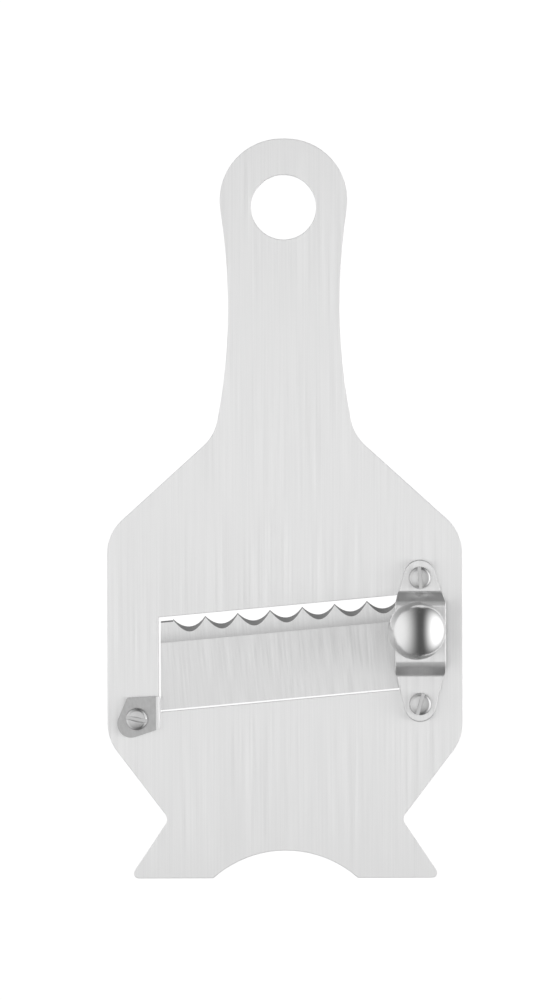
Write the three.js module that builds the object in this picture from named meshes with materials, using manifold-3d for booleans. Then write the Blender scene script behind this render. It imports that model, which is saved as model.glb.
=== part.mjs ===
// A hand truffle slicer: a flat steel plate with a handle, and a scalloped blade set in a slanted slot.
// The blade is held at its left end by a bent tab and one screw. A ball knob on a threaded stem, carried by a
// bridge over the slot, raises and lowers the right end to set how thick the shavings are.
//
// Millimetres. The plate lies flat: +Z is up, out of the face with the knob, +Y runs towards the hanging hole,
// and the origin is under the middle of the plate, on the plane of its smooth rear face.

import * as THREE from "three";
import { mergeVertices } from "three/addons/utils/BufferGeometryUtils.js";
import Module from "manifold-3d";

const wasm = await Module();
wasm.setup();

// Plate outline
const plateLength = 180;
const plateWidth = 86.5;
const plateThickness = 1.5;
const headRadius = 15.1;
const headFlat = 1.0;
const hangHoleDiameter = 15.8;
const hangHoleDrop = 1.6;
const waistInset = 2.0;
const waistBelowTop = 41;
const neckFlareRadius = 143;
const neckFillet = 11;
const shoulderAngle = 47.8;
const shoulderHeight = 83.9;
const bodyCornerRadius = 11;
const flankHeight = 34;
const notchHeight = 14.4;
const notchWidth = 56.7;
const notchRadius = 2.2;
const footWidth = 76;
const footTipRadius = 1.2;
const archWidth = 35.2;
const archHeight = 6.7;

// Slanted slot for the blade
const slotAngle = 5.15;
const slotLeftMargin = 12.55;
const slotRightMargin = 6.6;
const slotFloorHeight = 40.45;
const slotHeight = 23.1;

// Blade
const bladeThickness = 0.9;
const bladeShy = 0.15;
const bladeSideGap = 0.45;
const bladeBackGap = 0.36;
const bladeEdgeGap = 0.75;
const bevelWidth = 5.6;
const hollowRadius = 34;
const edgeLand = 0.1;
const scallopPitch = 7.91;
const scallopDepth = 2.2;
const scallopGrindAngle = 21.25;
const scallopStart = 3;
const scallopEndMargin = 8;

// Tab that carries the blade
const tabScrewInset = 5.35;
const tabScrewDrop = 1.55;
const tabRise = 5.2;
const tabTopAngle = 2.6;
const tabEndRadius = 3.35;
const tabEndLeft = 1.4;
const tabEndDrop = 1.2;
const tabSlip = 2.35;
const tabShoulder = 2.4;
const tabCornerRadius = 0.8;
const tabBendRadius = 0.25;
const tabLegInset = 0.6;
const tabLegGap = 0.3;
const flexureGap = 0.25;

// Bridge over the slot
const bridgeThickness = 1.5;
const bridgeWidth = 12.2;
const bridgeRise = 3.2;
const bridgeRampRun = 2.65;
const bridgeBendRadius = 0.8;
const bridgeOffset = 1.35;
const earRadius = 3.75;
const earReach = 0.6;
const upperEarLand = 1.05;
const lowerEarLand = 4.6;
const lowerEarFlare = 0.8;
const lowerScrewDrop = 3.8;

// Adjusting stem, its washer and the ball knob
const stemFromSlotEnd = 5.2;
const stemBelowRoof = 8.4;
const stemDiameter = 4;
const stemSocketDepth = 8;
const neckDiameter = 2.4;
const peenDiameter = 3.8;
const washerDiameter = 7;
const washerThickness = 0.4;
const ballDiameter = 14;
const ballFlatDiameter = 6;
const threadLead = 0.7;
const turnsDown = 2.5;
const ballStopGap = 0.35;

// Slotted screws
const screwDiameter = 3;
const screwHeadDiameter = 5.4;
const screwHeadHeight = 1.7;
const screwHeadDome = 0.15;
const screwHeadRound = 0.9;
const driverSlotWidth = 1;
const driverSlotDepth = 0.8;
const upperScrewTurn = 94;
const lowerScrewTurn = 74;
const tabScrewTurn = -11;

// Clearances: threads, holes that a screw passes through, and pieces that move past each other
const threadGap = 0.12;
const holeGap = 0.25;
const runningGap = 0.2;

// Fineness: the largest distance between a facet and the curve that it stands for, the fewest sides of a turned
// piece, the sides of the wheels that grind the hollow and the scallops, and the distance within which vertices
// are one
const facetError = 0.02;
const fewestSides = 24;
const hollowSides = 360;
const wheelSides = 96;
const weldDistance = 0.0001;

// Places that several pieces share
const footY = -plateLength / 2;
const topY = plateLength / 2;
const sideX = plateWidth / 2;
const slotLeft = -sideX + slotLeftMargin;
const slotRight = sideX - slotRightMargin;
const slotSlope = Math.tan(THREE.MathUtils.degToRad(slotAngle));
const slotFloor = (x) => footY + slotFloorHeight + (x - slotLeft) * slotSlope;
const slotRoof = (x) => slotFloor(x) + slotHeight;
const bladeTop = bladeShy + bladeThickness;
const stemX = slotRight - stemFromSlotEnd;
const stemY = slotRoof(stemX) - stemBelowRoof;
const bridgeX = stemX + bridgeOffset;
const bridgeTop = plateThickness + bridgeRise + bridgeThickness;
const headEdge = screwHeadDiameter / 2;
const upperFold = slotRoof(bridgeX);
const upperScrew = new THREE.Vector2(bridgeX, upperFold + upperEarLand + headEdge);
const lowerScrew = new THREE.Vector2(bridgeX, slotFloor(bridgeX) - lowerScrewDrop);
const lowerFold = lowerScrew.y + headEdge + lowerEarLand;
const upperEarEnd = new THREE.Vector2(bridgeX, upperScrew.y + earReach);
const lowerEarEnd = new THREE.Vector2(bridgeX, lowerScrew.y - earReach);
const tabScrew = new THREE.Vector2(slotLeft - tabScrewInset, slotFloor(slotLeft) - tabScrewDrop);
const tabTopSlope = Math.tan(THREE.MathUtils.degToRad(tabTopAngle));
const tabTop = (x) => tabScrew.y + tabRise + (x - tabScrew.x) * tabTopSlope;
const tabEnd = new THREE.Vector2(tabScrew.x - tabEndLeft, tabScrew.y - tabEndDrop);
const tabFoot = tabScrew.y - tabSlip;
const legRight = slotLeft + bladeSideGap;
const legLeft = legRight - bladeThickness;
const legFoot = slotFloor(legRight) + bladeBackGap;
const legTop = tabTop(legLeft) - tabLegInset;
const washerBottom = bladeTop + runningGap;
const stemShoulder = washerBottom + washerThickness + runningGap / 2;
const ballFlat = bridgeTop + threadLead * turnsDown + ballStopGap;

// Plane geometry

function pointAt(centre, radius, angle) {
  return new THREE.Vector2(centre.x + radius * Math.cos(angle), centre.y + radius * Math.sin(angle));
}

// Points along an arc, close enough together for the facet error.
function arc(centre, radius, from, to) {
  const step = 2 * Math.acos(1 - facetError / Math.max(radius, 2 * facetError));
  const count = Math.max(2, Math.ceil(Math.abs(to - from) / step));
  return Array.from({ length: count + 1 }, (_, i) =>
    pointAt(centre, radius, from + ((to - from) * i) / count),
  );
}

function circle(centre, radius) {
  return arc(centre, radius, 0, 2 * Math.PI).slice(0, -1);
}

// An arc of the given radius in place of a corner, from the side before it to the side after it.
function corner(before, at, after, radius) {
  const inward = before.clone().sub(at).normalize();
  const outward = after.clone().sub(at).normalize();
  const half = Math.acos(THREE.MathUtils.clamp(inward.dot(outward), -1, 1)) / 2;
  const centre = inward.clone().add(outward).normalize().multiplyScalar(radius / Math.sin(half)).add(at);
  const reach = radius / Math.tan(half);
  const first = inward.multiplyScalar(reach).add(at).sub(centre);
  const last = outward.multiplyScalar(reach).add(at).sub(centre);
  const turn = Math.atan2(first.cross(last), first.dot(last));
  return arc(centre, radius, first.angle(), first.angle() + turn);
}

// The point where a line from an outside point touches a circle, on its left or its right side.
function tangentPoint(from, centre, radius, side) {
  const reach = from.clone().sub(centre);
  return pointAt(centre, radius, reach.angle() + side * Math.acos(radius / reach.length()));
}

// Solids

function asSolid(geometry) {
  const bare = geometry.clone();
  bare.deleteAttribute("normal");
  bare.deleteAttribute("uv");
  const merged = mergeVertices(bare, weldDistance);
  return new wasm.Manifold(
    new wasm.Mesh({
      numProp: 3,
      vertProperties: merged.attributes.position.array,
      triVerts: new Uint32Array(merged.index.array),
    }),
  );
}

function asGeometry(solid) {
  const { vertProperties, triVerts } = solid.getMesh();
  return new THREE.BufferGeometry()
    .setAttribute("position", new THREE.BufferAttribute(vertProperties, 3))
    .setIndex(new THREE.BufferAttribute(triVerts, 1));
}

function cut(geometry, ...tools) {
  return asGeometry(tools.reduce((left, tool) => left.subtract(asSolid(tool)), asSolid(geometry)));
}

function common(first, second) {
  return asGeometry(asSolid(first).intersect(asSolid(second)));
}

// A flat outline, with holes, raised from one height to another.
function prism(outline, holes, low, high) {
  const shape = new THREE.Shape(outline);
  shape.holes = holes.map((points) => new THREE.Path(points));
  return new THREE.ExtrudeGeometry(shape, { depth: high - low, bevelEnabled: false }).translate(0, 0, low);
}

// A profile of radius and height turned about the upright axis through a point.
function turned(profile, centre) {
  const radius = Math.max(...profile.map((p) => p.x));
  const sides = Math.max(fewestSides, Math.ceil(Math.PI / Math.acos(1 - facetError / radius)));
  return new THREE.LatheGeometry(profile, sides).rotateX(Math.PI / 2).translate(centre.x, centre.y, 0);
}

// A bent strip's side profile: its centre line moved out to both faces, with every bend rounded.
function stripProfile(line, bendRadius, thickness) {
  const legs = line.slice(1).map((point, i) => point.clone().sub(line[i]).normalize());
  const face = (side) => {
    const edge = line.map((point, i) => {
      const before = legs[Math.max(i - 1, 0)];
      const after = legs[Math.min(i, legs.length - 1)];
      const across = new THREE.Vector2(-before.y - after.y, before.x + after.x);
      const reach = (side * thickness) / 2 / (1 + before.dot(after));
      return point.clone().addScaledVector(across, reach);
    });
    const rounded = edge.slice(1, -1).flatMap((at, i) => {
      const inside = side * legs[i].cross(legs[i + 1]) > 0;
      return corner(edge[i], at, edge[i + 2], inside ? bendRadius : bendRadius + thickness);
    });
    return [edge[0], ...rounded, edge[edge.length - 1]];
  };
  return [...face(-1), ...face(1).reverse()];
}

// Steel finishes
const brushedSteel = { color: 0xe1e1e1, roughness: 0.42, metalness: 1 };
const groundSteel = { color: 0xd4d4d4, roughness: 0.32, metalness: 1 };
const polishedSteel = { color: 0xe6e6e6, roughness: 0.18, metalness: 1 };
const turnedSteel = { color: 0xc8c8c8, roughness: 0.28, metalness: 1 };

const slicer = new THREE.Group();
slicer.name = "truffle_slicer";

function add(name, geometry, finish) {
  const mesh = new THREE.Mesh(geometry, new THREE.MeshStandardMaterial(finish));
  mesh.name = name;
  slicer.add(mesh);
}

// Right half of the plate's outline, from the top of the handle down to the middle of the foot's arch.
function rightOutline() {
  const headCentre = new THREE.Vector2(headFlat / 2, topY - headRadius);
  const waistY = topY - waistBelowTop;
  const waistReach = headRadius - waistInset;
  const drop = headCentre.y - waistY;
  const sideRadius = (waistReach ** 2 + drop ** 2 - headRadius ** 2) / (2 * waistInset);
  const sideCentre = new THREE.Vector2(headCentre.x + waistReach + sideRadius, waistY);
  const touch = sideCentre.clone().sub(headCentre).angle();
  const flareCentre = new THREE.Vector2(headCentre.x + waistReach + neckFlareRadius, waistY);

  const shoulder = new THREE.Vector2(sideX, footY + shoulderHeight);
  const lean = THREE.MathUtils.degToRad(shoulderAngle);
  const upward = new THREE.Vector2(-Math.sin(lean), Math.cos(lean));
  const outward = new THREE.Vector2(Math.cos(lean), Math.sin(lean));
  const start = shoulder.clone().addScaledVector(outward, neckFillet).sub(flareCentre);
  const along = start.dot(upward);
  const run = -along + Math.sqrt(along ** 2 - start.lengthSq() + (neckFlareRadius - neckFillet) ** 2);
  const filletFrom = start.addScaledVector(upward, run);
  const filletCentre = filletFrom.clone().add(flareCentre);

  const body = new THREE.Vector2(sideX, footY + flankHeight);
  const notch = new THREE.Vector2(notchWidth / 2, footY + notchHeight);
  const tip = new THREE.Vector2(footWidth / 2, footY);
  const archEnd = new THREE.Vector2(archWidth / 2, footY);
  const archRadius = (archEnd.x ** 2 + archHeight ** 2) / (2 * archHeight);
  const archCentre = new THREE.Vector2(0, footY + archHeight - archRadius);

  return [
    ...arc(headCentre, headRadius, Math.PI / 2, touch > Math.PI ? touch - 2 * Math.PI : touch),
    ...arc(sideCentre, sideRadius, touch - Math.PI, Math.PI).slice(1),
    ...arc(flareCentre, neckFlareRadius, Math.PI, filletFrom.angle()).slice(1),
    ...arc(filletCentre, neckFillet, filletFrom.angle(), lean + Math.PI).slice(1),
    ...corner(filletCentre.clone().addScaledVector(outward, -neckFillet), shoulder, body, bodyCornerRadius),
    ...corner(shoulder, body, notch, bodyCornerRadius),
    ...corner(body, notch, tip, notchRadius),
    ...corner(notch, tip, archEnd, footTipRadius),
    ...arc(archCentre, archRadius, archEnd.clone().sub(archCentre).angle(), Math.PI / 2),
  ];
}

// The slot, with a small notch at the foot of its left end, under the tab, where the tab's leg goes down.
function slotOutline() {
  const notchLeft = legLeft - tabLegGap;
  const notchTop = legTop + tabLegGap;
  return [
    new THREE.Vector2(slotLeft, slotRoof(slotLeft)),
    new THREE.Vector2(slotLeft, notchTop),
    new THREE.Vector2(notchLeft, notchTop),
    new THREE.Vector2(notchLeft, slotFloor(notchLeft)),
    new THREE.Vector2(slotRight, slotFloor(slotRight)),
    new THREE.Vector2(slotRight, slotRoof(slotRight)),
  ];
}

function framePlate() {
  const right = rightOutline();
  const left = right.slice(0, -1).reverse().map((p) => new THREE.Vector2(-p.x, p.y));
  const hangHole = circle(new THREE.Vector2(0, topY - headRadius - hangHoleDrop), hangHoleDiameter / 2);
  const screwHoles = [upperScrew, lowerScrew, tabScrew].map((at) =>
    circle(at, screwDiameter / 2 + threadGap),
  );
  return prism([...right, ...left], [hangHole, slotOutline(), ...screwHoles], 0, plateThickness);
}

// A strap with two ears on the plate and a raised middle, tapped for the stem.
function bridge() {
  const low = plateThickness + bridgeThickness / 2;
  const high = low + bridgeRise;
  const line = [
    [lowerEarEnd.y - 2 * earRadius, low],
    [lowerFold, low],
    [lowerFold + bridgeRampRun, high],
    [upperFold - bridgeRampRun, high],
    [upperFold, low],
    [upperEarEnd.y + 2 * earRadius, low],
  ].map(([y, z]) => new THREE.Vector2(y, z));
  const profile = prism(stripProfile(line, bridgeBendRadius, bridgeThickness), [], -bridgeWidth, bridgeWidth);
  const turnedUp = new THREE.Matrix4().makeBasis(
    new THREE.Vector3(0, 1, 0),
    new THREE.Vector3(0, 0, 1),
    new THREE.Vector3(1, 0, 0),
  );
  const strap = profile.applyMatrix4(turnedUp).translate(bridgeX, 0, 0);

  // Seen from above, each ear is a round end past its screw, joined by straight sides to the full width.
  const half = bridgeWidth / 2;
  const ear = (end, shoulder, sign) => {
    const near = new THREE.Vector2(bridgeX + sign * half, shoulder);
    const far = new THREE.Vector2(bridgeX - sign * half, shoulder);
    const first = tangentPoint(near, end, earRadius, 1).sub(end).angle();
    const last = tangentPoint(far, end, earRadius, -1).sub(end).angle();
    return [near, ...arc(end, earRadius, first, last < first ? last + 2 * Math.PI : last), far];
  };
  const outline = [
    ...ear(upperEarEnd, upperFold - bridgeRampRun, 1),
    ...ear(lowerEarEnd, lowerFold + lowerEarFlare, -1),
  ];
  const screwHoles = [upperScrew, lowerScrew].map((at) => circle(at, screwDiameter / 2 + holeGap));
  const stemHole = circle(new THREE.Vector2(stemX, stemY), stemDiameter / 2 + threadGap);
  return common(strap, prism(outline, [...screwHoles, stemHole], 0, 2 * bridgeTop));
}

// The blade's own end, bent down through the plate from the flat that the tab screw holds.
function bladeTab() {
  const middle = plateThickness + bladeThickness / 2;
  const line = [
    [tabEnd.x - 2 * tabEndRadius, middle],
    [legLeft + bladeThickness / 2, middle],
    [legLeft + bladeThickness / 2, bladeShy],
  ].map(([x, z]) => new THREE.Vector2(x, z));
  const profile = prism(stripProfile(line, tabBendRadius, bladeThickness), [], -topY, topY);
  const strip = profile.rotateX(Math.PI / 2);

  const shoulderX = tabScrew.x - tabShoulder;
  const upperLeft = new THREE.Vector2(shoulderX, tabTop(shoulderX));
  const upperRight = new THREE.Vector2(legRight, tabTop(legRight));
  const lowerRight = new THREE.Vector2(legRight, tabFoot);
  const first = tangentPoint(upperLeft, tabEnd, tabEndRadius, 1);
  const last = tangentPoint(lowerRight, tabEnd, tabEndRadius, -1);
  const from = first.clone().sub(tabEnd).angle();
  const to = last.clone().sub(tabEnd).angle();
  const outline = [
    ...corner(lowerRight, upperRight, upperLeft, tabCornerRadius),
    upperLeft,
    ...arc(tabEnd, tabEndRadius, from, to < from ? to + 2 * Math.PI : to),
    ...corner(last, lowerRight, upperRight, tabCornerRadius),
  ];
  const hole = circle(tabScrew, screwDiameter / 2 + holeGap);
  const bent = common(strip, prism(outline, [hole], 0, 2 * middle));

  // Only the leg inside the slot goes down through the plate. Above and below it the bend stops on the plate.
  const past = 2 * tabEndRadius;
  const stop = (low, high) =>
    new THREE.BoxGeometry(2 * past, high - low, 2 * plateThickness).translate(legRight, (low + high) / 2, 0);
  return cut(bent, stop(legFoot - past, legFoot), stop(legTop, legTop + past));
}

// The blade: a leaning sheet with a hollow-ground bevel, its edge scalloped by a wheel held at a slant.
function blade() {
  const left = slotLeft + bladeSideGap;
  const right = slotRight - bladeSideGap;
  const root = legRight + flexureGap;
  const rootTop = legTop + tabLegGap;
  const back = (x) => slotFloor(x) + bladeBackGap;
  const crest = (x) => slotRoof(x) - bladeEdgeGap;
  const sheet = prism(
    [
      new THREE.Vector2(root, back(root)),
      new THREE.Vector2(right, back(right)),
      new THREE.Vector2(right, crest(right)),
      new THREE.Vector2(left, crest(left)),
      new THREE.Vector2(left, rootTop),
      new THREE.Vector2(root, rootTop),
    ],
    [],
    bladeShy,
    bladeTop,
  );

  // A frame at the left end of the edge: along the edge, into the blade, up.
  const lean = Math.atan(slotSlope);
  const toEdge = new THREE.Matrix4()
    .makeTranslation(left, crest(left), bladeShy)
    .multiply(new THREE.Matrix4().makeRotationZ(lean));
  const length = (right - left) / Math.cos(lean);

  // A large wheel along the edge grinds the bevel a little hollow between the land and the face.
  const bevelFoot = new THREE.Vector2(0, edgeLand);
  const bevelHead = new THREE.Vector2(-bevelWidth, bladeThickness);
  const bevel = bevelHead.clone().sub(bevelFoot);
  const hollowLift = Math.sqrt(hollowRadius ** 2 - bevel.lengthSq() / 4);
  const hollowMiddle = new THREE.Vector2(bevel.y, -bevel.x)
    .setLength(hollowLift)
    .add(bevelFoot)
    .addScaledVector(bevel, 0.5);
  const bevelTool = new THREE.CylinderGeometry(hollowRadius, hollowRadius, 3 * length, hollowSides)
    .rotateZ(Math.PI / 2)
    .translate(length / 2, hollowMiddle.x, hollowMiddle.y)
    .applyMatrix4(toEdge);

  const grind = THREE.MathUtils.degToRad(scallopGrindAngle);
  const bite = scallopDepth * Math.sin(grind);
  const wheelRadius = ((scallopPitch / 2) ** 2 + bite ** 2) / (2 * bite);
  const wheelReach = 4 * bevelWidth;
  const count = Math.max(1, Math.floor((length - scallopStart - scallopEndMargin) / scallopPitch));
  const wheels = Array.from({ length: count }, (_, i) =>
    new THREE.CylinderGeometry(wheelRadius, wheelRadius, wheelReach, wheelSides)
      .rotateX(-grind)
      .translate(
        scallopStart + (i + 0.5) * scallopPitch,
        -scallopDepth + wheelRadius * Math.sin(grind),
        wheelRadius * Math.cos(grind),
      )
      .applyMatrix4(toEdge),
  );

  const neckHole = neckDiameter / 2 + holeGap;
  const coneTop = bladeShy + (peenDiameter - neckDiameter) / 2;
  const through = bladeThickness;
  const countersink = turned(
    [
      new THREE.Vector2(0, bladeShy - through),
      new THREE.Vector2(neckHole + coneTop - bladeShy + through, bladeShy - through),
      new THREE.Vector2(neckHole, coneTop),
      new THREE.Vector2(neckHole, bladeTop + through),
      new THREE.Vector2(0, bladeTop + through),
    ],
    new THREE.Vector2(stemX, stemY),
  );
  return cut(sheet, bevelTool, ...wheels, countersink);
}

// Threaded stem: its foot is peened into the blade's countersink, its top is fixed in the ball.
function adjustingStem() {
  const coneTop = bladeShy + (peenDiameter - neckDiameter) / 2;
  return turned(
    [
      [0, bladeShy],
      [peenDiameter / 2, bladeShy],
      [neckDiameter / 2, coneTop],
      [neckDiameter / 2, stemShoulder],
      [stemDiameter / 2, stemShoulder],
      [stemDiameter / 2, ballFlat + stemSocketDepth - threadGap],
      [0, ballFlat + stemSocketDepth - threadGap],
    ].map(([r, z]) => new THREE.Vector2(r, z)),
    new THREE.Vector2(stemX, stemY),
  );
}

function thrustWasher() {
  const inner = neckDiameter / 2 + runningGap;
  const outer = washerDiameter / 2;
  const top = washerBottom + washerThickness;
  return turned(
    [
      [inner, washerBottom],
      [outer, washerBottom],
      [outer, top],
      [inner, top],
      [inner, washerBottom],
    ].map(([r, z]) => new THREE.Vector2(r, z)),
    new THREE.Vector2(stemX, stemY),
  );
}

// A ball with a flat underneath and a blind hole for the stem.
function knobBall() {
  const radius = ballDiameter / 2;
  const flatAngle = -Math.acos(ballFlatDiameter / ballDiameter);
  const middle = new THREE.Vector2(0, ballFlat - radius * Math.sin(flatAngle));
  const bore = stemDiameter / 2 + threadGap;
  const skin = arc(middle, radius, flatAngle, Math.PI / 2).slice(0, -1);
  return turned(
    [
      new THREE.Vector2(0, ballFlat + stemSocketDepth),
      new THREE.Vector2(bore, ballFlat + stemSocketDepth),
      new THREE.Vector2(bore, ballFlat),
      ...skin,
      new THREE.Vector2(0, middle.y + radius),
    ],
    new THREE.Vector2(stemX, stemY),
  );
}

// A slotted screw whose head sits at a height and whose end is flush with the plate's rear face.
function slottedScrew(at, seat, turn) {
  const shank = screwDiameter / 2;
  const top = seat + screwHeadHeight;
  const rim = top - screwHeadDome;
  const domeRadius = ((headEdge - screwHeadRound) ** 2 + screwHeadDome ** 2) / (2 * screwHeadDome);
  const domeCentre = new THREE.Vector2(0, top - domeRadius);
  const domeFrom = Math.acos((headEdge - screwHeadRound) / domeRadius);
  const round = new THREE.Vector2(headEdge - screwHeadRound, rim - screwHeadRound);
  const body = turned(
    [
      new THREE.Vector2(0, threadGap),
      new THREE.Vector2(shank, threadGap),
      new THREE.Vector2(shank, seat),
      new THREE.Vector2(headEdge, seat),
      ...arc(round, screwHeadRound, 0, Math.PI / 2),
      ...arc(domeCentre, domeRadius, domeFrom, Math.PI / 2).slice(1, -1),
      new THREE.Vector2(0, top),
    ],
    at,
  );
  const slot = new THREE.BoxGeometry(2 * screwHeadDiameter, driverSlotWidth, 2 * driverSlotDepth)
    .rotateZ(THREE.MathUtils.degToRad(turn))
    .translate(at.x, at.y, top);
  return cut(body, slot);
}

const earTop = plateThickness + bridgeThickness;
const tabTopFace = plateThickness + bladeThickness;

add("frame_plate", framePlate(), brushedSteel);
add("bridge", bridge(), brushedSteel);
add("bridge_screw_upper", slottedScrew(upperScrew, earTop, upperScrewTurn), turnedSteel);
add("bridge_screw_lower", slottedScrew(lowerScrew, earTop, lowerScrewTurn), turnedSteel);
add("blade_tab", bladeTab(), groundSteel);
add("tab_screw", slottedScrew(tabScrew, tabTopFace, tabScrewTurn), turnedSteel);
add("blade", blade(), groundSteel);
add("thrust_washer", thrustWasher(), turnedSteel);
add("adjusting_stem", adjustingStem(), turnedSteel);
add("knob_ball", knobBall(), polishedSteel);

export default slicer;
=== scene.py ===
# %% [markdown]
# # A hand truffle slicer
# A flat brushed plate carries a scalloped blade in a slanted slot. The blade's left end is bent up onto the
# plate and screwed down. A ball knob on a threaded stem moves its right end, so that turning the knob sets
# how thick a shaving comes off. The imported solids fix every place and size. This lesson adds what they
# leave out: softened edges, ground bevels, a cut thread and the look of each steel.

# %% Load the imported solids
import math

import bmesh
import bpy
import numpy as np
from mathutils import Matrix, Vector


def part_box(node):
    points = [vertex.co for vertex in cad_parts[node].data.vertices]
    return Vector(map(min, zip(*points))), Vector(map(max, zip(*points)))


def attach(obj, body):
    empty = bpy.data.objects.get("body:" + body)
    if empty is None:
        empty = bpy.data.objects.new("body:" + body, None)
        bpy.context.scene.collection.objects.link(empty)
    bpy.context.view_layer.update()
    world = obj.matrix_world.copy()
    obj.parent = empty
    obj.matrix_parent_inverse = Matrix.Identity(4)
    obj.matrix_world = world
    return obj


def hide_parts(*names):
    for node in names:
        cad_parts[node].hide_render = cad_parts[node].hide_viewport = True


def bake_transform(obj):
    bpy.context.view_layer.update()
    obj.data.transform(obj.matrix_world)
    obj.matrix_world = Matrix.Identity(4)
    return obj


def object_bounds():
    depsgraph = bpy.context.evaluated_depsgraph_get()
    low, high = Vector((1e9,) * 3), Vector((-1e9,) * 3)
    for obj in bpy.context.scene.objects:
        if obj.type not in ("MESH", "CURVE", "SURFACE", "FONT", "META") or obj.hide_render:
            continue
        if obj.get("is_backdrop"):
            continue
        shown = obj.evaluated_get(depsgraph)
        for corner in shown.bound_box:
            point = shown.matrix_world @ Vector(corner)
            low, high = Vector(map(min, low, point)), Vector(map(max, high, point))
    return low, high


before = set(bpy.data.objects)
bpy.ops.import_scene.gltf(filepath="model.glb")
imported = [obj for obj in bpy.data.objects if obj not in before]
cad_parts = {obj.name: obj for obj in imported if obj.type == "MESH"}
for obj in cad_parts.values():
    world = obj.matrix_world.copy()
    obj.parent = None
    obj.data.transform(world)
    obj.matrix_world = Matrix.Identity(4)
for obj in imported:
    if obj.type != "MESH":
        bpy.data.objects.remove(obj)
cad_low, cad_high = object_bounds()
MM = 0.001
print("solids:", ", ".join(sorted(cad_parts)))
print("box in mm:", [round(side / MM, 2) for side in cad_high - cad_low])

# %% [markdown]
# ## Camera
# The photograph looks straight down on the slicer through a long lens. An orthographic camera would lose the
# slight swelling of the ball, which stands nearer to the lens, so this is a real 100 mm lens, placed high
# enough that one pixel covers the same width of the plate as in the photograph.

# %% A camera straight above the plate
photo_width, photo_height = 558, 1000
plate_middle_pixel = Vector((284.48, 508.3))
pixel_on_plate = 0.2434 * MM
photo_roll = math.radians(-0.177)
plate_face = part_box("frame_plate")[1].z

camera = bpy.data.objects.new("camera", bpy.data.cameras.new("long_lens"))
camera.data.lens = 100
camera.data.sensor_width = 36
camera.data.clip_start = 10 * MM
bpy.context.scene.collection.objects.link(camera)
bpy.context.scene.camera = camera
aim = (Vector((photo_width / 2, photo_height / 2)) - plate_middle_pixel) * pixel_on_plate
camera_rise = photo_height * pixel_on_plate * camera.data.lens / camera.data.sensor_width
camera.location = (aim.x, -aim.y, plate_face + camera_rise)
camera.rotation_euler = (0, 0, photo_roll)
print("camera stands", round(camera_rise / MM), "mm above the plate")

# %% [markdown]
# ## Adding nodes
# Materials, the surroundings and the Geometry Nodes trees are all networks of nodes, so one small function
# adds a node to any of them. It takes the node's settings by name. An input is either a plain value or
# the output of another node, which it links.

# %% One way to add a node, and one way to write a colour


def add_node(tree, kind, inputs=None, **settings):
    made = tree.nodes.new(kind)
    for name, value in settings.items():
        setattr(made, name, value)
    for socket, value in (inputs or {}).items():
        for source in value if isinstance(value, list) else [value]:
            if isinstance(source, bpy.types.NodeSocket):
                tree.links.new(source, made.inputs[socket])
            else:
                made.inputs[socket].default_value = source
    return made


def linear(hex_colour):
    """A colour written as sRGB hex, as the linear values that shaders take."""
    parts = [int(hex_colour[i:i + 2], 16) / 255 for i in (0, 2, 4)]
    return (*[p / 12.92 if p <= 0.04045 else ((p + 0.055) / 1.055) ** 2.4 for p in parts], 1)


print("a mid grey of 808080 is", round(linear("808080")[0], 3), "in linear light")

# %% [markdown]
# ## Light tent
# Polished steel shows what stands around it, so the ball is a map of the studio: a soft wall of light on its
# left, a brighter one on its right, and a dark gap overhead, running along the plate, where the camera looks
# in. Lamps alone have hard borders. Here the world is the tent: its brightness depends only on how far
# a direction leans to the left or right. A wide softbox hangs over the gap and lights the flat steel. A flag
# keeps its light off the ball, which would mirror it as a white patch.

# %% Surroundings: two bright walls and a dim gap between them
# A lean of -1 is straight to the left and 1 straight to the right. Each wall starts at its foot and is full
# at its top. The right one is still rising where directions end.
gap_light = 0.1
left_wall_light = 1.1
left_wall_foot, left_wall_top = 0.15, -0.95
right_wall_light = 2.2
right_wall_foot, right_wall_top = 0.32, 1.2

world = bpy.data.worlds.new("light_tent")
bpy.context.scene.world = world
world.use_nodes = True
sky = world.node_tree
sky.nodes.clear()
direction = add_node(sky, "ShaderNodeTexCoord").outputs["Generated"]
lean = add_node(sky, "ShaderNodeSeparateXYZ", {"Vector": direction}).outputs["X"]
left_wall = add_node(sky, "ShaderNodeMapRange", {
    "Value": lean, "From Min": left_wall_foot, "From Max": left_wall_top,
    "To Min": gap_light, "To Max": left_wall_light,
}, interpolation_type="SMOOTHSTEP").outputs["Result"]
right_wall = add_node(sky, "ShaderNodeMapRange", {
    "Value": lean, "From Min": right_wall_foot, "From Max": right_wall_top,
    "To Min": 0.0, "To Max": right_wall_light,
}, interpolation_type="SMOOTHSTEP").outputs["Result"]
walls = add_node(sky, "ShaderNodeMath", {0: left_wall, 1: right_wall}, operation="ADD").outputs["Value"]
tent = add_node(sky, "ShaderNodeBackground", {"Color": linear("ffffff"), "Strength": walls})
add_node(sky, "ShaderNodeOutputWorld", {"Surface": tent.outputs[0]})
print("tent walls:", left_wall_light, "and", right_wall_light, "over a gap of", gap_light)

# %% A wide softbox overhead
softbox_width, softbox_length = 0.8, 0.64
softbox_rise = 0.9
softbox_light = 0.9

lamp = bpy.data.lights.new("softbox", "AREA")
lamp.shape = "RECTANGLE"
lamp.size = softbox_width
lamp.size_y = softbox_length
lamp.energy = softbox_light * math.pi * softbox_width * softbox_length
softbox = bpy.data.objects.new("softbox", lamp)
softbox.location = (0, 0, softbox_rise)
softbox.visible_camera = False
bpy.context.scene.collection.objects.link(softbox)
flagged = bpy.data.collections.new("flagged_from_softbox")
softbox.light_linking.receiver_collection = flagged
print("softbox gives", round(lamp.energy, 2), "W")

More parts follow.
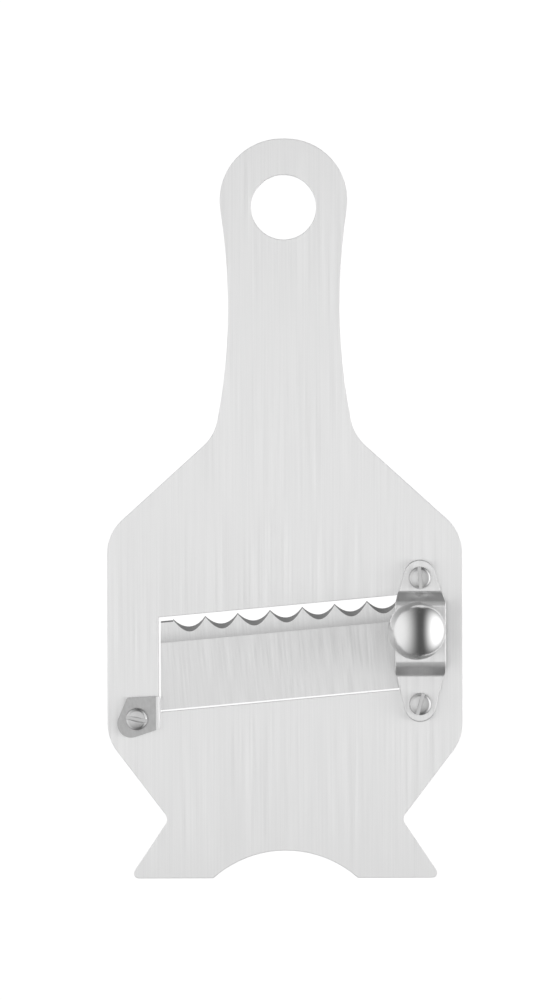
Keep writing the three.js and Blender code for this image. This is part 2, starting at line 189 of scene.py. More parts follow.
# %% [markdown]
# ## Floor
# To keep hard shadows out of a picture, such a piece is laid on clear glass, some way above a white card that
# is a little larger than the picture. White paint under this light would come out grey, and more light would
# burn out the steel. So the card glows, but only as the lens and the polished steel see it, and its paint
# still takes the slicer's faint shadow. From the ball the plate hides most of the card, so the ball mirrors
# the tent. The glass itself is left out.

# %% A pale floor
floor_glow = 0.86
floor_drop = 40 * MM
floor_half_width, floor_half_length = 76 * MM, 135 * MM

paint = bpy.data.materials.new("white_floor_paint")
paint.cycles.emission_sampling = "NONE"
paint.use_nodes = True
shading = paint.node_tree
shading.nodes.clear()
path = add_node(shading, "ShaderNodeLightPath").outputs
seen = path["Is Camera Ray"]
for kind in ("Is Glossy Ray", "Is Transmission Ray"):
    either = add_node(shading, "ShaderNodeMath", {0: seen, 1: path[kind]}, operation="MAXIMUM")
    seen = either.outputs["Value"]
glow_strength = add_node(shading, "ShaderNodeMath", {0: seen, 1: floor_glow}, operation="MULTIPLY")
glow = add_node(shading, "ShaderNodeEmission", {"Strength": glow_strength.outputs["Value"]})
coat = add_node(shading, "ShaderNodeBsdfDiffuse", {"Color": linear("8c8c8c")})
both = add_node(shading, "ShaderNodeAddShader", {0: glow.outputs[0], 1: coat.outputs[0]})
add_node(shading, "ShaderNodeOutputMaterial", {"Surface": both.outputs[0]})

floor_mesh = bpy.data.meshes.new("floor")
corners = [(x * floor_half_width, y * floor_half_length, -floor_drop)
           for x, y in ((-1, -1), (1, -1), (1, 1), (-1, 1))]
floor_mesh.from_pydata(corners, [], [(0, 1, 2, 3)])
floor_mesh.materials.append(paint)
floor = bpy.data.objects.new("floor", floor_mesh)
bpy.context.scene.collection.objects.link(floor)
floor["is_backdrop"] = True
bpy.context.scene.view_settings.view_transform = "Standard"
print("floor lies", floor_drop / MM, "mm under the plate")

# %% [markdown]
# ## Brushed and ground steel
# Most surfaces here are steel with fine lines in one direction: brushed sheet, ground bevels, turned screw
# heads. Each line is a tiny groove, so light spreads sideways across the lines and hardly along them. A
# map named brush says where the lines run: U goes across them and V along them, in metres. The shader's
# anisotropy takes its direction from that map, and stretched noise on the map draws the lines themselves.

# %% A steel whose lines follow the brush map
# Noise seldom leaves this range. The steel is a little rougher in the grooves than on the ridges.
usual_noise = 0.3, 0.7
roughness_swing = 0.12


def lined_steel(name, light, dark, roughness, spread, line_width, line_length, groove):
    """Steel with grooves along V of the brush map. spread is how far the shine is drawn out across them."""
    steel = bpy.data.materials.new(name)
    steel.use_nodes = True
    tree = steel.node_tree
    tree.nodes.clear()
    place = add_node(tree, "ShaderNodeUVMap", uv_map="brush").outputs["UV"]
    stretched = add_node(tree, "ShaderNodeMapping", {
        "Vector": place, "Scale": (1 / line_width, 1 / line_length, 1),
    }).outputs["Vector"]
    lines = add_node(tree, "ShaderNodeTexNoise", {
        "Vector": stretched, "Scale": 1, "Detail": 3, "Roughness": 0.65,
    }).outputs["Fac"]
    # A colour mix takes its factor at input 0, its two colours at 6 and 7, and gives a colour at output 2.
    tone = add_node(tree, "ShaderNodeMix", {0: lines, 6: linear(dark), 7: linear(light)}, data_type="RGBA")
    rough = add_node(tree, "ShaderNodeMapRange", {
        "Value": lines, "From Min": usual_noise[0], "From Max": usual_noise[1],
        "To Min": roughness * (1 + roughness_swing), "To Max": roughness * (1 - roughness_swing),
    })
    relief = add_node(tree, "ShaderNodeBump", {"Strength": 1, "Distance": groove, "Height": lines})
    along = add_node(tree, "ShaderNodeTangent", direction_type="UV_MAP", uv_map="brush")
    surface = add_node(tree, "ShaderNodeBsdfPrincipled", {
        "Base Color": tone.outputs[2], "Metallic": 1, "Roughness": rough.outputs[0],
        "Anisotropic": spread, "Normal": relief.outputs[0], "Tangent": along.outputs[0],
    })
    add_node(tree, "ShaderNodeOutputMaterial", {"Surface": surface.outputs[0]})
    print("made", name)
    return steel


def lay_brush_map(mesh, across_and_along):
    """Stores the brush map, from a function of a point and the face that it is on."""
    brush = mesh.uv_layers.new(name="brush")
    for face in mesh.polygons:
        for corner in face.loop_indices:
            point = mesh.vertices[mesh.loops[corner].vertex_index].co
            brush.data[corner].uv = across_and_along(point, face)


# %% [markdown]
# ## Plate
# The plate is stamped from sheet, and its edges are rubbed smooth so that it can be held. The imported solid
# has the right outline but razor edges. A copy of it is merged into whole faces, and its sharp edges are
# bevelled. Only its rim is shaded smooth, because the level faces have to stay perfectly flat.

# %% Stainless sheet for the plate
# Belt-brushed along the handle: even and pale from above, with fine upright streaks. The real lines are
# about 0.1 mm wide; they are drawn 0.4 mm wide so that they show at this size.
brushed_sheet = lined_steel(
    "brushed_stainless_sheet", light="f4f4f4", dark="eaeaea", roughness=0.45, spread=0.9,
    line_width=0.4 * MM, line_length=45 * MM, groove=0.002 * MM,
)

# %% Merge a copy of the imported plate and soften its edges
# Points closer than a weld are one point, and faces in one plane are one face. A face whose normal's Z is
# past the last value is level.
edge_softening = 0.12 * MM
softening_steps = 3
weld = 0.0005 * MM
one_plane = math.radians(0.1)
sharp_from = math.radians(40)
level = 0.9999


def add_piece(name, mesh, body, slot, *stands_for):
    piece = bpy.data.objects.new(name, mesh)
    bpy.context.scene.collection.objects.link(piece)
    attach(piece, body)
    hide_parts(*stands_for)
    print(name, "has", len(mesh.polygons), "faces and rides on", body)
    return piece


def softened(mesh, width):
    """A copy with whole faces and rounded edges. Level faces stay flat and the rest is shaded smooth."""
    shape = bmesh.new()
    shape.from_mesh(mesh)
    bmesh.ops.remove_doubles(shape, verts=shape.verts, dist=weld)
    bmesh.ops.dissolve_limit(shape, angle_limit=one_plane, verts=shape.verts, edges=shape.edges)
    sharp = [edge for edge in shape.edges if edge.calc_face_angle(0) > sharp_from]
    bmesh.ops.bevel(shape, geom=sharp, offset=width, offset_type="OFFSET", segments=softening_steps,
                    profile=0.5, affect="EDGES", clamp_overlap=False)
    for face in shape.faces:
        face.smooth = abs(face.normal.z) < level
    result = bpy.data.meshes.new("softened")
    shape.to_mesh(result)
    shape.free()
    return result


plate_mesh = softened(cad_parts["frame_plate"].data, edge_softening)
plate_mesh.materials.clear()
plate_mesh.materials.append(brushed_sheet)
lay_brush_map(plate_mesh, lambda point, face: point.xy)
add_piece("plate", plate_mesh, "frame", "plate_steel", "frame_plate")

# %% [markdown]
# ## Bridge
# The bridge is a strap of sheet, cut with round ears and bent up over the slot. A maker cuts it flat and then
# folds it, and the mesh is made the same way: an outline is laid out along the flat strap, and a fold
# function lifts each point of it onto the bent centre line. The softened edge is a few rings that step in
# before the flat faces start. Cutting a solid block instead would leave ragged faces along the bends.

# %% The strap's sizes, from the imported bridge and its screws
bridge_low, bridge_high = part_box("bridge")
upper_screw = sum(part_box("bridge_screw_upper"), Vector()) / 2
lower_screw = sum(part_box("bridge_screw_lower"), Vector()) / 2
strap_thickness = 1.5 * MM
strap_rise = bridge_high.z - bridge_low.z - strap_thickness
strap_half = (bridge_high.x - bridge_low.x) / 2
strap_middle = (bridge_high.x + bridge_low.x) / 2
ramp_run = 2.65 * MM
inner_bend = 0.8 * MM
bend_radius = inner_bend + strap_thickness / 2
ear_reach = 0.6 * MM
ear_radius = bridge_high.y - upper_screw.y - ear_reach
upper_land, lower_land = 3.75 * MM, 7.3 * MM
lower_flare = 0.8 * MM
upper_fold = upper_screw.y - upper_land
lower_fold = lower_screw.y + lower_land
upper_shoulder = upper_fold - ramp_run
lower_shoulder = lower_fold + lower_flare
print("strap is", round(2 * strap_half / MM, 2), "mm wide and rises", round(strap_rise / MM, 2), "mm")

# %% A bent centre line, with a normal at each station


def bent_line(corners, radius, steps):
    """Points and upward normals along a line whose corners are rounded, as arrays."""
    points, normals = [], []
    for before, at, after in zip(corners, corners[1:], corners[2:]):
        entry = (at - before).normalized()
        leave = (after - at).normalized()
        turn = math.atan2(entry.cross(leave), entry.dot(leave))
        up = Vector((-entry.y, entry.x))
        start = at - entry * radius * math.tan(abs(turn) / 2)
        centre = start + up * math.copysign(radius, turn)
        for step in range(steps + 1):
            spin = Matrix.Rotation(turn * step / steps, 2)
            points.append(centre + spin @ (start - centre))
            normals.append(spin @ up)
    ends = [corners[0], *points, corners[-1]]
    return np.array(ends), np.array([normals[0], *normals, normals[-1]])


bend_steps = 10
low_line = bridge_low.z + strap_thickness / 2
high_line = low_line + strap_rise
strap_line, strap_normals = bent_line([Vector(point) for point in (
    (bridge_low.y, low_line), (lower_fold, low_line), (lower_fold + ramp_run, high_line),
    (upper_fold - ramp_run, high_line), (upper_fold, low_line), (bridge_high.y, low_line),
)], bend_radius, bend_steps)
strap_length = np.concatenate([[0], np.cumsum(np.hypot(*np.diff(strap_line, axis=0).T))])
print("flat strap is", round(strap_length[-1] / MM, 2), "mm long")


def folded(across, length, height):
    """Where a point of the flat strap lies on the bent one."""
    line = [np.interp(length, strap_length, strap_line[:, i]) for i in (0, 1)]
    up = Vector([np.interp(length, strap_length, strap_normals[:, i]) for i in (0, 1)]).normalized()
    return strap_middle + across, line[0] + height * up.x, line[1] + height * up.y


# %% The flat outline: half of it, from the lower ear's tip to the upper ear's tip
ear_steps = 16


def ear(centre, shoulder, end):
    """A round ear's side as (half width, place), from where its straight side touches it to its tip."""
    reach = Vector((strap_half, shoulder - centre))
    touch = math.atan2(reach.y, reach.x) + end * math.acos(ear_radius / reach.length)
    angles = [touch + (end * math.pi / 2 - touch) * step / ear_steps for step in range(ear_steps + 1)]
    return [(ear_radius * math.cos(a), centre + ear_radius * math.sin(a)) for a in angles]


lower_ear = ear(lower_screw.y - ear_reach, lower_shoulder, -1)[::-1]
upper_ear = ear(upper_screw.y + ear_reach, upper_shoulder, 1)
corner_places = [lower_ear[-1][1], lower_shoulder, upper_shoulder, upper_ear[0][1]]
corner_widths = [lower_ear[-1][0], strap_half, strap_half, upper_ear[0][0]]
between = sorted([*strap_line[:, 0], lower_shoulder, upper_shoulder])
between = [place for place in between if corner_places[0] < place < corner_places[-1]]
side = lower_ear + [(np.interp(place, corner_places, corner_widths), place) for place in between] + upper_ear
side = np.array([(width, np.interp(place, strap_line[:, 0], strap_length)) for width, place in side])
print("outline has", len(side), "stations on each side")

# %% Rings round the softened edge, then the two flat faces
strap_softening = 0.2 * MM
edge_support = 0.15 * MM


def strap_rings():
    """(step in from the outline, height) of each ring, from the upper face round the edge to the lower."""
    angles = [math.pi / 2 * (1 - step / softening_steps) for step in range(softening_steps + 1)]
    half = strap_thickness / 2
    rounded = [
        (strap_softening * (1 - math.cos(a)), half - strap_softening * (1 - math.sin(a)))
        for a in angles
    ]
    upper = [(strap_softening + edge_support, half), *rounded]
    return upper + [(inset, -height) for inset, height in upper[::-1]]


slopes = np.gradient(side, axis=0)
outward = np.stack([slopes[:, 1], -slopes[:, 0]], axis=1)
outward /= np.linalg.norm(outward, axis=1, keepdims=True)
outward[0], outward[-1] = (0, -1), (0, 1)
shape = bmesh.new()
rings = []
for inset, height in strap_rings():
    inner = side - inset * outward
    right = [shape.verts.new(folded(across, length, height)) for across, length in inner]
    left = [shape.verts.new(folded(-across, length, height)) for across, length in inner[1:-1]]
    rings.append(right + left[::-1])
for ring, following in zip(rings, rings[1:]):
    for i in range(len(ring)):
        shape.faces.new((ring[i - 1], ring[i], following[i], following[i - 1]))
for ring in (rings[0], rings[-1]):
    right, left = ring[:len(side)], [ring[0], *ring[:len(side) - 2:-1]]
    for i in range(len(side) - 1):
        shape.faces.new(dict.fromkeys((right[i], right[i + 1], left[i + 1], left[i])))
bmesh.ops.recalc_face_normals(shape, faces=shape.faces)
strap_mesh = bpy.data.meshes.new("strap")
shape.to_mesh(strap_mesh)
shape.free()
print("strap has", len(strap_mesh.polygons), "faces before its holes are drilled")

# %% [markdown]
# ## Turned pieces and drilled holes
# The ball, the stem, the washer and the screws are turned on a lathe: a profile of radius and height, spun
# about an upright axis. The same function makes the drills that cut round holes. Boolean modifiers do the
# cutting, and new_from_object turns the result into a plain mesh.

# %% A lathe, a cutter and a shading rule
lathe_sides = 96


def turned(profile, axis, closed=False):
    """A closed mesh: (radius, height) points spun about an upright axis."""
    shape = bmesh.new()
    angles = [2 * math.pi * i / lathe_sides for i in range(lathe_sides)]
    circle = [(math.cos(a), math.sin(a)) for a in angles]
    rings = [
        [shape.verts.new((axis.x + radius * x, axis.y + radius * y, height)) for x, y in circle]
        for radius, height in profile
    ]
    for ring, following in zip(rings, rings[1:] + rings[:1] if closed else rings[1:]):
        for i in range(lathe_sides):
            shape.faces.new((ring[i - 1], ring[i], following[i], following[i - 1]))
    bmesh.ops.remove_doubles(shape, verts=shape.verts, dist=weld)
    bmesh.ops.recalc_face_normals(shape, faces=shape.faces)
    mesh = bpy.data.meshes.new("turned")
    shape.to_mesh(mesh)
    shape.free()
    return mesh


def plain_mesh(thing):
    """What an object's modifiers make of it, as a plain mesh. The object itself is thrown away."""
    view = bpy.context.evaluated_depsgraph_get()
    mesh = bpy.data.meshes.new_from_object(thing.evaluated_get(view), depsgraph=view)
    bpy.data.objects.remove(thing)
    return mesh


def combined(mesh, operation, *tools):
    """A mesh with others joined to it or cut from it."""
    blank = bpy.data.objects.new("blank", mesh)
    helpers = [bpy.data.objects.new("tool", tool) for tool in tools]
    for thing in (blank, *helpers):
        bpy.context.scene.collection.objects.link(thing)
    for helper in helpers:
        step = blank.modifiers.new("step", "BOOLEAN")
        step.operation = operation
        step.solver = "EXACT"
        step.material_mode = "TRANSFER"
        step.object = helper
    result = plain_mesh(blank)
    for helper in helpers:
        bpy.data.objects.remove(helper)
    return result


def shade_round(mesh):
    mesh.shade_smooth()
    mesh.set_sharp_from_angle(angle=sharp_from)


# %% Drill the strap and give it its steel
# The same stainless, from a narrower strip with a smoother mill finish: it mirrors a little of the ball and
# the screws, and its lines run along the strap.
strip_steel = lined_steel(
    "rolled_stainless_strip", light="f0f0f0", dark="e4e4e4", roughness=0.44, spread=0.88,
    line_width=0.4 * MM, line_length=30 * MM, groove=0.001 * MM,
)
stem_place = sum(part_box("adjusting_stem"), Vector()) / 2
drill_radius = 1.75 * MM
stem_hole_radius = 2.12 * MM


def drill(place, radius):
    return turned([(0, -cad_high.z), (radius, -cad_high.z), (radius, cad_high.z), (0, cad_high.z)], place)


drills = [drill(screw, drill_radius) for screw in (upper_screw, lower_screw)]
strap_mesh = combined(strap_mesh, "DIFFERENCE", *drills, drill(stem_place, stem_hole_radius))
shade_round(strap_mesh)
strap_mesh.materials.clear()
strap_mesh.materials.append(strip_steel)
lay_brush_map(strap_mesh, lambda point, face: point.xy)
add_piece("bridge_strap", strap_mesh, "frame", "plate_steel", "bridge")

# %% [markdown]
# ## Geometry Nodes
# Three jobs here follow a rule: grinding one scallop after another, cutting a thread, and slotting and
# placing three screws. Each is a Geometry Nodes tree with its sizes as named inputs, so that a size can be
# changed without touching the rule. Two small functions start a tree and run it on a starting mesh.

# %% Start a tree, and run it


def new_tree(name, kinds):
    """An empty tree with a geometry input and output and one input of the given kind for each size."""
    tree = bpy.data.node_groups.new(name, "GeometryNodeTree")
    tree.interface.new_socket("Geometry", in_out="OUTPUT", socket_type="NodeSocketGeometry")
    tree.interface.new_socket("Geometry", in_out="INPUT", socket_type="NodeSocketGeometry")
    for size, kind in kinds.items():
        tree.interface.new_socket(size, in_out="INPUT", socket_type="NodeSocket" + kind)
    return tree, add_node(tree, "NodeGroupInput").outputs


def run_tree(tree, mesh, sizes):
    """The mesh that a tree makes of a starting mesh. Each size goes in by its socket's identifier."""
    start = bpy.data.objects.new(tree.name, mesh)
    bpy.context.scene.collection.objects.link(start)
    work = start.modifiers.new(tree.name, "NODES")
    work.node_group = tree
    for socket in tree.interface.items_tree:
        if socket.in_out == "INPUT" and socket.name in sizes:
            work[socket.identifier] = sizes[socket.name]
    return plain_mesh(start)


# %% [markdown]
# ## Blade
# Blade and tab are one strip of spring steel. Its left end is folded up through the slot and lies on the
# plate under a screw. The strip is made as a blank first: a folded strap and a leaning sheet, joined. Then
# a tree grinds it as a maker would: a wheel along the edge takes off the long hollow bevel, a stone hones the
# edge, and a small wheel held at a slant takes one bite after another out of it. Each bite leaves a crescent.

# %% Where the strip lies
blade_low, blade_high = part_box("blade")
tab_low, tab_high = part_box("blade_tab")
tab_screw = sum(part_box("tab_screw"), Vector()) / 2
strip_thickness = blade_high.z - blade_low.z
edge_lean = math.radians(5.15)
leg_right = tab_high.x
leg_middle = leg_right - strip_thickness / 2
tab_rise = 5.2 * MM
tab_top_lean = math.radians(2.6)
leg_inset = 0.6 * MM
leg_foot = blade_low.y
tab_end_left, tab_end_drop = 1.4 * MM, 1.2 * MM
tab_end_middle = tab_screw.xy - Vector((tab_end_left, tab_end_drop))
tab_end_radius = tab_end_middle.x - tab_low.x


def leaning(x, x_known, y_known):
    """Height of a line that leans as the slot does, through a known point."""
    return y_known + (x - x_known) * math.tan(edge_lean)


def tab_top(x):
    return tab_screw.y + tab_rise + (x - tab_screw.x) * math.tan(tab_top_lean)


def back(x):
    return leaning(x, leg_right, blade_low.y)


def crest(x):
    return leaning(x, blade_high.x, blade_high.y)


edge_length = (blade_high.x - blade_low.x) / math.cos(edge_lean)
print("edge runs", round(edge_length / MM, 2), "mm")

# %% Steels of the strip
# Rolled spring steel, left as it came: an even satin that shows no direction. Its mid-grey is partly the
# steel's own and partly painted shade, standing for the dark overhead that the flat tab mirrors.
spring_steel = lined_steel(
    "rolled_spring_steel", light="c6c6c6", dark="b6b6b6", roughness=0.42, spread=0.05,
    line_width=0.5 * MM, line_length=1.5 * MM, groove=0.001 * MM,
)
# Surface-ground across the edge: pale, with faint upright streaks.
ground_face = lined_steel(
    "surface_ground_blade", light="ececec", dark="e0e0e0", roughness=0.45, spread=0.88,
    line_width=0.5 * MM, line_length=16 * MM, groove=0.002 * MM,
)
# Hollow-ground across the edge: close upright marks, bright by the scallops and darker where the hollow
# starts.
hollow_ground = lined_steel(
    "hollow_ground_bevel", light="ececec", dark="dcdcdc", roughness=0.4, spread=0.85,
    line_width=0.35 * MM, line_length=7 * MM, groove=0.002 * MM,
)
# Wheel-ground with a coarse grit: a dull grey that hardly changes with the light. Its darkness is partly the
# coarse grind and partly painted shade, for the dim side of the tent that the scallop walls face.
wheel_ground = lined_steel(
    "wheel_ground_scallop", light="b0b0b0", dark="9c9c9c", roughness=0.6, spread=0.0,
    line_width=0.2 * MM, line_length=2 * MM, groove=0.002 * MM,
)

# %% The blank: a sheet for the blade and a folded strap for the tab


def prism(outline, low, high):
    """A flat outline raised from one height to another, as a closed mesh."""
    shape = bmesh.new()
    face = shape.faces.new([shape.verts.new((*point, low)) for point in outline])
    raised = bmesh.ops.extrude_face_region(shape, geom=[face], use_keep_orig=True)["geom"]
    for vertex in raised:
        if isinstance(vertex, bmesh.types.BMVert):
            vertex.co.z = high
    bmesh.ops.recalc_face_normals(shape, faces=shape.faces)
    mesh = bpy.data.meshes.new("prism")
    shape.to_mesh(mesh)
    shape.free()
    return mesh


leg_top = tab_top(leg_right - strip_thickness) - leg_inset
lap = 0.3 * MM
sheet = prism([
    (leg_right - lap, leg_foot), (blade_high.x, back(blade_high.x)), (blade_high.x, crest(blade_high.x)),
    (leg_right, crest(leg_right)), (leg_right, leg_top), (leg_right - lap, leg_top),
], blade_low.z, blade_high.z)
sheet.materials.append(ground_face)

# The leg ends just inside the sheet. Faces that share a plane would leave slivers when the two are joined.
leg_step = 0.02 * MM
tab_middle = tab_high.z - strip_thickness / 2
inner_fold = 0.25 * MM
fold_radius = inner_fold + strip_thickness / 2
fold_steps = 12
fold_line, fold_normals = bent_line([Vector(point) for point in (
    (tab_low.x - tab_end_radius, tab_middle), (leg_middle, tab_middle),
    (leg_middle, blade_low.z + leg_step),
)], fold_radius, fold_steps)
faces = [fold_line + half * strip_thickness / 2 * fold_normals for half in (1, -1)]
bent_strap = prism([*faces[0], *faces[1][::-1]], -cad_high.y, cad_high.y)
bent_strap.transform(Matrix.Rotation(math.pi / 2, 4, "X"))
print("the fold has a middle radius of", round(fold_radius / MM, 2), "mm")

# %% Cut the folded strap to the tab's outline and join it to the sheet
# Only the leg inside the slot goes down to the blade. Above and below it the bend stops on the plate.
tab_drop = 2.35 * MM
tab_foot = tab_screw.y - tab_drop
tab_shoulder = 2.4 * MM
tab_corner = 0.8 * MM
tab_arc_steps = 48
corner_steps = 8


def touching(point, end):
    """Angle at which a line from a point touches the tab's round end."""
    reach = point - tab_end_middle
    return math.atan2(reach.y, reach.x) + end * math.acos(tab_end_radius / reach.length)


upper_left = Vector((tab_screw.x - tab_shoulder, tab_top(tab_screw.x - tab_shoulder)))
upper_right = Vector((leg_right, tab_top(leg_right)))
lower_right = Vector((leg_right, tab_foot))
first = touching(upper_left, 1)
last = touching(lower_right, -1) + 2 * math.pi
tab_end = [tab_end_middle + tab_end_radius * Vector((math.cos(a), math.sin(a)))
           for a in np.linspace(first, last, tab_arc_steps)]
right_side, _ = bent_line([tab_end[-1], lower_right, upper_right, upper_left], tab_corner, corner_steps)
flange = prism([*right_side, *tab_end[:-1]], plate_face, cad_high.z)
leg_sides = leg_right - 1.5 * strip_thickness, leg_right + lap
leg_ends = leg_foot + leg_step, leg_top - leg_step
leg = prism([
    (leg_sides[i], leg_ends[j]) for i, j in ((0, 0), (1, 0), (1, 1), (0, 1))
], -cad_high.z, tab_middle)
tab = combined(bent_strap, "INTERSECT", combined(flange, "UNION", leg))
tab.materials.clear()
tab.materials.append(spring_steel)
tab.materials.append(ground_face)
# The flat of the tab takes the darker steel with its painted shade. From where the fold starts, the strip
# takes the pale blade steel.
for face in tab.polygons:
    face.material_index = int(face.center.x > leg_right - fold_radius - strip_thickness / 2)
tab = combined(tab, "DIFFERENCE", drill(tab_screw, drill_radius))
blank = combined(sheet, "UNION", tab)
print("blank strip has", len(blank.polygons), "faces")

# %% Countersink the blade for the stem's peened foot
neck_radius = 1.2 * MM
peen_radius = 1.9 * MM
neck_gap = 0.25 * MM
neck_hole = neck_radius + neck_gap
peen_top = blade_low.z + peen_radius - neck_radius
tool_low, tool_high = blade_low.z - strip_thickness, blade_high.z + strip_thickness
countersink = turned([
    (0, tool_low), (neck_hole + peen_top - tool_low, tool_low), (neck_hole, peen_top),
    (neck_hole, tool_high), (0, tool_high),
], stem_place)
blank = combined(blank, "DIFFERENCE", countersink)
print("countersink opens to", round(2 * (neck_hole + peen_top - blade_low.z) / MM, 2), "mm")

# %% A tree that grinds the edge
# Each tool is placed along a straight edge first, moved onto the leaning blade, and then cut from it.
grind, size = new_tree("grind_scalloped_edge", {
    "Hollow Radius": "Float", "Hollow Width": "Float", "Hollow Place": "Vector", "Hollow Steel": "Material",
    "Stone Size": "Vector", "Stone Place": "Vector", "Stone Tilt": "Vector",
    "Wheel Radius": "Float", "Wheel Width": "Float", "Wheel Tilt": "Vector", "Wheel Steel": "Material",
    "First Bite": "Vector", "Pitch": "Vector", "Bites": "Int", "Edge Place": "Vector", "Edge Lean": "Vector",
})
hollow_sides, wheel_sides = 1600, 400
along_edge = (0, math.pi / 2, 0)


def marked(tool, name):
    """A tool whose cuts can be told apart afterwards."""
    return add_node(grind, "GeometryNodeStoreNamedAttribute", {
        "Geometry": tool.outputs["Mesh"], "Name": name, "Value": True,
    }, data_type="BOOLEAN", domain="FACE").outputs["Geometry"]


hollow = add_node(grind, "GeometryNodeMeshCylinder", {
    "Vertices": hollow_sides, "Radius": size["Hollow Radius"], "Depth": size["Hollow Width"],
})
hollow = add_node(grind, "GeometryNodeTransform", {
    "Geometry": marked(hollow, "hollow_ground"), "Translation": size["Hollow Place"], "Rotation": along_edge,
})
stone = add_node(grind, "GeometryNodeMeshCube", {"Size": size["Stone Size"]})
stone = add_node(grind, "GeometryNodeTransform", {
    "Geometry": marked(stone, "wheel_ground"), "Translation": size["Stone Place"],
    "Rotation": size["Stone Tilt"],
})
wheel = add_node(grind, "GeometryNodeMeshCylinder", {
    "Vertices": wheel_sides, "Radius": size["Wheel Radius"], "Depth": size["Wheel Width"],
})
bites = add_node(grind, "GeometryNodeMeshLine", {
    "Count": size["Bites"], "Start Location": size["First Bite"], "Offset": size["Pitch"],
}).outputs["Mesh"]
wheels = add_node(grind, "GeometryNodeInstanceOnPoints", {
    "Points": bites, "Instance": marked(wheel, "wheel_ground"), "Rotation": size["Wheel Tilt"],
})
ground = size["Geometry"]
for tool in (hollow, stone, wheels):
    tool = add_node(grind, "GeometryNodeTransform", {
        "Geometry": tool.outputs[0], "Translation": size["Edge Place"], "Rotation": size["Edge Lean"],
    }).outputs["Geometry"]
    ground = add_node(grind, "GeometryNodeMeshBoolean", {
        "Mesh 1": ground, "Mesh 2": tool,
    }, operation="DIFFERENCE", solver="EXACT").outputs["Mesh"]
ground = add_node(grind, "GeometryNodeRealizeInstances", {"Geometry": ground}).outputs["Geometry"]
for mark, steel in (("hollow_ground", "Hollow Steel"), ("wheel_ground", "Wheel Steel")):
    chosen = add_node(grind, "GeometryNodeInputNamedAttribute", {"Name": mark}, data_type="BOOLEAN")
    ground = add_node(grind, "GeometryNodeSetMaterial", {
        "Geometry": ground, "Selection": chosen.outputs["Attribute"], "Material": size[steel],
    }).outputs["Geometry"]
add_node(grind, "NodeGroupOutput", {"Geometry": ground})
print("grind tree has", len(grind.nodes), "nodes")

# %% Grind the blank
bevel_width = 5.6 * MM
edge_land = 0.1 * MM
hollow_radius = 34 * MM
scallop_pitch = 7.91 * MM
scallop_depth = 2.2 * MM
scallop_start, scallop_end = 3 * MM, 8 * MM
wheel_slant = math.radians(21.25)
hone_depth = 0.3 * MM
sliver = 0.008 * MM

edge_place = Vector((blade_low.x, crest(blade_low.x), blade_low.z))
bevel_foot, bevel_head = Vector((0, edge_land)), Vector((-bevel_width, strip_thickness))
bevel = bevel_head - bevel_foot
hollow_lift = math.sqrt(hollow_radius ** 2 - bevel.length_squared / 4)
hollow_middle = (bevel_foot + bevel_head) / 2 + Vector((bevel.y, -bevel.x)).normalized() * hollow_lift
# The tools are larger than the cuts, so that each cut runs right out of the steel.
hollow_width = 3 * edge_length
stone_reach = 2 * bevel_width
wheel_width = 4 * bevel_width
bite = scallop_depth * math.sin(wheel_slant)
wheel_radius = ((scallop_pitch / 2) ** 2 + bite ** 2) / (2 * bite)
blade_mesh = run_tree(grind, blank, {
    "Hollow Radius": hollow_radius, "Hollow Width": hollow_width,
    "Hollow Place": (edge_length / 2, *hollow_middle), "Hollow Steel": hollow_ground,
    "Stone Size": (2 * stone_reach, 2 * stone_reach, 2 * stone_reach),
    "Stone Place": (scallop_start - stone_reach, stone_reach * math.sin(wheel_slant) - hone_depth,
                    stone_reach * math.cos(wheel_slant)),
    "Stone Tilt": (-wheel_slant, 0, 0),
    "Wheel Radius": wheel_radius, "Wheel Width": wheel_width,
    "Wheel Tilt": (math.pi / 2 - wheel_slant, 0, 0), "Wheel Steel": wheel_ground,
    "First Bite": (scallop_start + scallop_pitch / 2, -scallop_depth + wheel_radius * math.sin(wheel_slant),
                   wheel_radius * math.cos(wheel_slant)),
    "Pitch": (scallop_pitch, 0, 0),
    "Bites": int((edge_length - scallop_start - scallop_end) / scallop_pitch),
    "Edge Place": edge_place, "Edge Lean": (0, 0, edge_lean),
})
# Where cuts meet they leave faces thinner than a hair, which are merged into their neighbours.
shape = bmesh.new()
shape.from_mesh(blade_mesh)
bmesh.ops.remove_doubles(shape, verts=shape.verts, dist=sliver)
bmesh.ops.dissolve_degenerate(shape, edges=shape.edges, dist=sliver)
shape.to_mesh(blade_mesh)
shape.free()
print("ground blade has", len(blade_mesh.polygons), "faces")
print("its steels are", [steel.name for steel in blade_mesh.materials])

# %% Shade the strip and lay its brush map
# On the slicer the tab stays with the plate and the blade swings, and the strip bends between them in the
# short flat beside the leg. Here the strip is one piece, tied to neither body, and no bend is set up.
steels_beside = {}
for face in blade_mesh.polygons:
    steel = blade_mesh.materials[face.material_index]
    face.use_smooth = steel in (hollow_ground, wheel_ground) or abs(face.normal.z) < level
    for edge in face.edge_keys:
        steels_beside.setdefault(edge, set()).add(steel.name)
blade_mesh.set_sharp_from_angle(angle=sharp_from)
for edge in blade_mesh.edges:
    edge.use_edge_sharp = edge.use_edge_sharp or len(steels_beside[edge.key]) > 1


def blade_brush(point, face):
    along_edge, into_blade = Matrix.Rotation(-edge_lean, 2) @ (point - edge_place).xy
    if blade_mesh.materials[face.material_index] == wheel_ground:
        return into_blade, along_edge
    return along_edge, into_blade


lay_brush_map(blade_mesh, blade_brush)
strip = bpy.data.objects.new("blade_strip", blade_mesh)
bpy.context.scene.collection.objects.link(strip)
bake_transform(strip)
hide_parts("blade", "blade_tab")

# %% [markdown]
# ## Screws
# Three slotted cheese-head screws hold the tab and the bridge. One blank is turned. A tree cuts its driver
# slot, sets a copy on each of three points, turned as far as its own screw was driven, and trims the ends
# just short of the back of the plate, so that nothing stands out of it.

